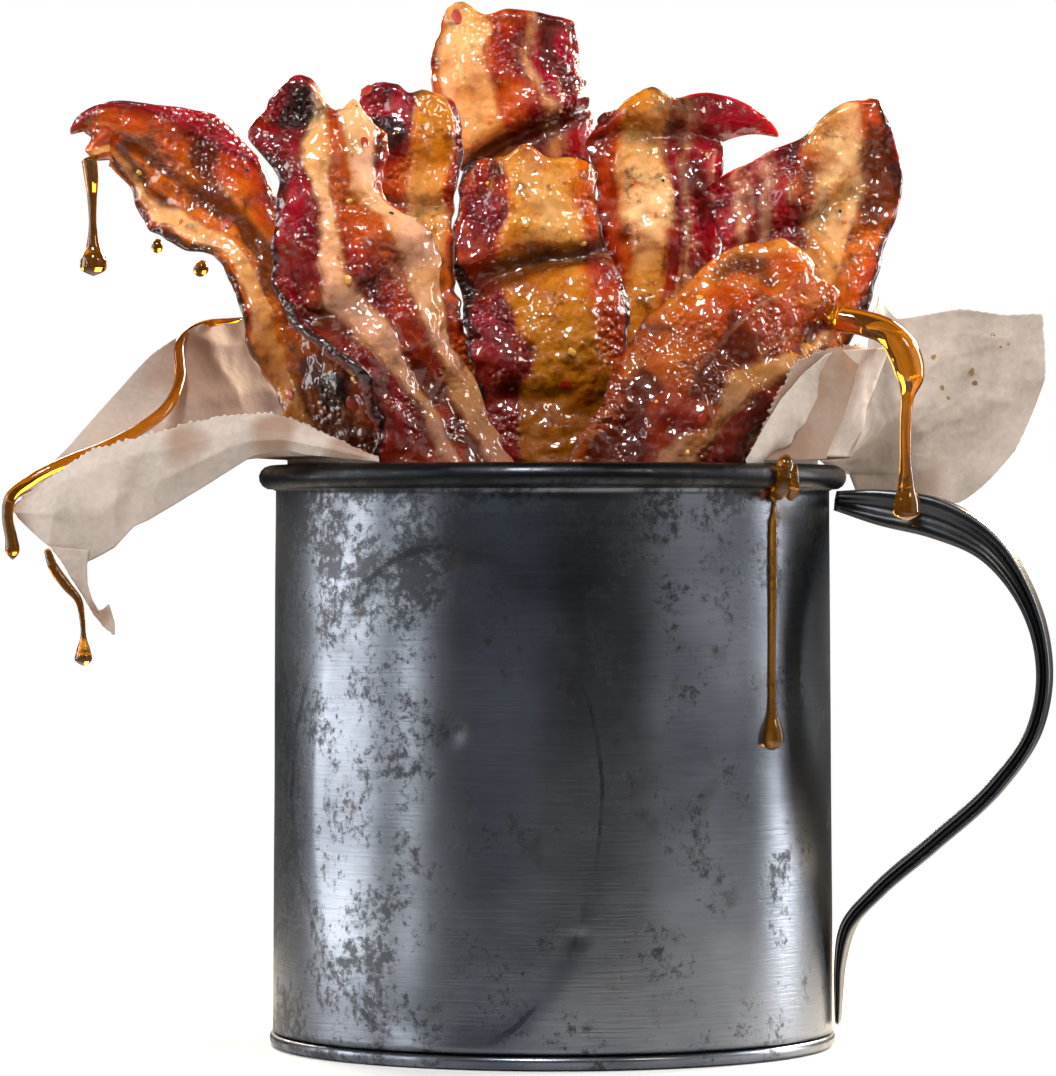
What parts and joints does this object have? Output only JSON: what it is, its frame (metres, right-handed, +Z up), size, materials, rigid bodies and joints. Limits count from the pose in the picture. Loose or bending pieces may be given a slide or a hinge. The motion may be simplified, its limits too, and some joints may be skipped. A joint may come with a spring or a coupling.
{
  "type": "cooked bacon strips in a steel mug",
  "caption": "Glazed cooked bacon strips standing in an aged tinned-steel mug with a strap handle, lined with baking paper that opens over the rim on both sides",
  "frame": {"origin": "centre of the mug's flat base, on the surface it stands on", "axes": "+Z up along the mug's axis; -Y is the front of the bunch of strips; the handle stands on the +X side, turned a little to the front"},
  "size_m": [0.171, 0.0974, 0.1727],
  "materials": {
    "tinned_steel": "satin",
    "baking_paper": "matte",
    "cooked_bacon": "gloss"
  },
  "bodies": {
    "root": {"mug_wall": "tinned_steel", "mug_base": "tinned_steel", "mug_handle": "tinned_steel", "paper_left": "baking_paper", "paper_right": "baking_paper", "strip_far_left": "cooked_bacon", "strip_left_front": "cooked_bacon", "strip_left_back": "cooked_bacon", "strip_centre_front": "cooked_bacon", "strip_centre_back": "cooked_bacon", "strip_right_back": "cooked_bacon", "strip_far_right": "cooked_bacon", "strip_right_front": "cooked_bacon"}
  },
  "joints": []
}
